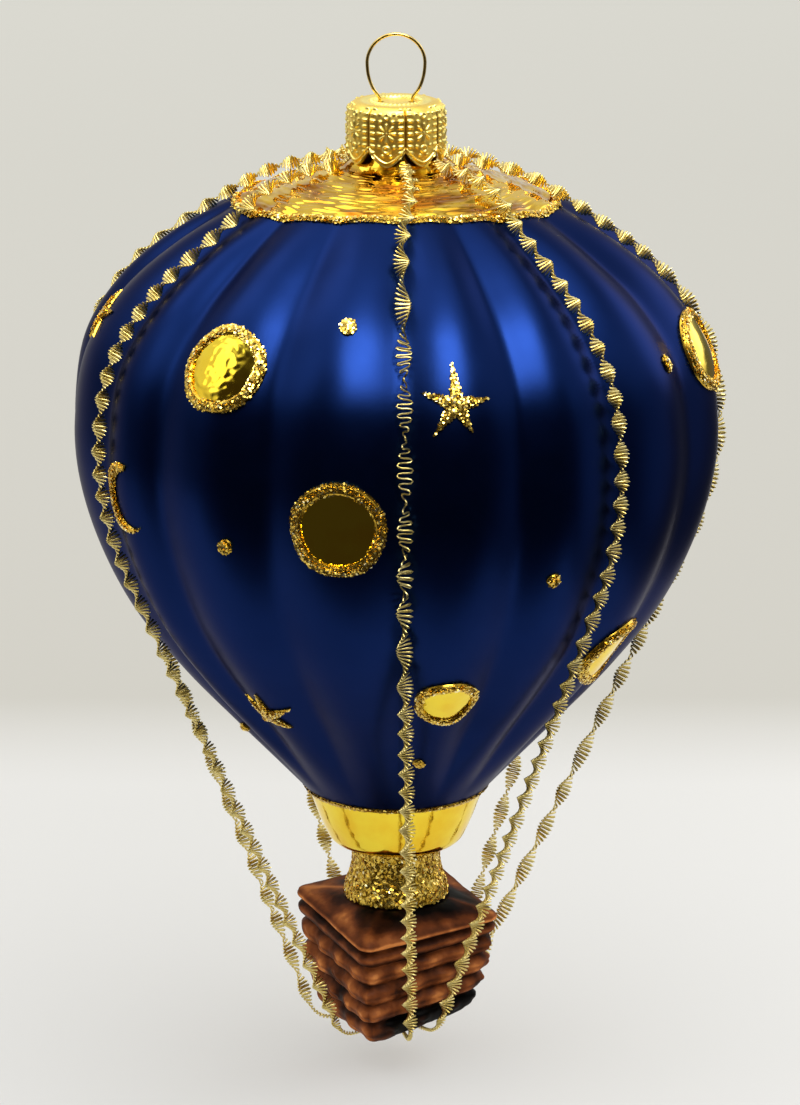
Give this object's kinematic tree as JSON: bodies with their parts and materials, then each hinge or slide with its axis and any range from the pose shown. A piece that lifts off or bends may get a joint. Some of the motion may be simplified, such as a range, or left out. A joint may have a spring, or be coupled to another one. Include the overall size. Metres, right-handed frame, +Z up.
{
  "type": "hot air balloon hanging ornament",
  "caption": "Fluted blown-glass hanging ornament shaped like a hot air balloon, with a crimped metal cap, wire loop, crinkled wire stays and a glass basket.",
  "frame": {"origin": "the hanging point, inside the top of the wire loop", "axes": "+Z up along the balloon's axis, -Y towards the front of the picture, +X to its right"},
  "size_m": [0.0993, 0.1004, 0.1578],
  "materials": {
    "cap_gold": "bright gold-coloured stamped metal",
    "wire_gold": "satin gold-coloured crinkled wire",
    "mirror_gold": "gold mirror glass",
    "blue_lacquer": "opaque satin midnight blue lacquer on silvered glass",
    "gold_glitter": "coarse gold glitter on glass",
    "basket_brown": "opaque antiqued brown lacquer on glass"
  },
  "bodies": {
    "hanger": {"hanger_loop": "cap_gold"},
    "balloon": {"cap": "cap_gold", "crown_glass": "mirror_gold", "envelope_glass": "blue_lacquer", "mouth_collar": "mirror_gold", "burner_neck": "gold_glitter", "basket": "basket_brown", "stay_knot": "wire_gold", "stay_1": "wire_gold", "stay_2": "wire_gold", "stay_3": "wire_gold", "stay_4": "wire_gold", "stay_5": "wire_gold", "stay_6": "wire_gold", "stay_7": "wire_gold", "stay_8": "wire_gold", "window_01": "mirror_gold", "window_02": "mirror_gold", "window_03": "mirror_gold", "window_04": "mirror_gold", "window_05": "mirror_gold", "window_06": "mirror_gold", "window_07": "mirror_gold", "window_08": "mirror_gold", "window_09": "mirror_gold", "window_10": "mirror_gold", "star_1": "gold_glitter", "star_2": "gold_glitter", "star_3": "gold_glitter", "star_4": "gold_glitter", "star_5": "gold_glitter", "star_6": "gold_glitter", "crescent_1": "gold_glitter", "crescent_2": "gold_glitter"}
  },
  "joints": [
    {"name": "loop_swing", "type": "hinge", "parent": "hanger", "child": "balloon", "pos_m": [0, 0, -0.01049], "axis": [1, 0, 0], "range_deg": [-20, 20]}
  ]
}
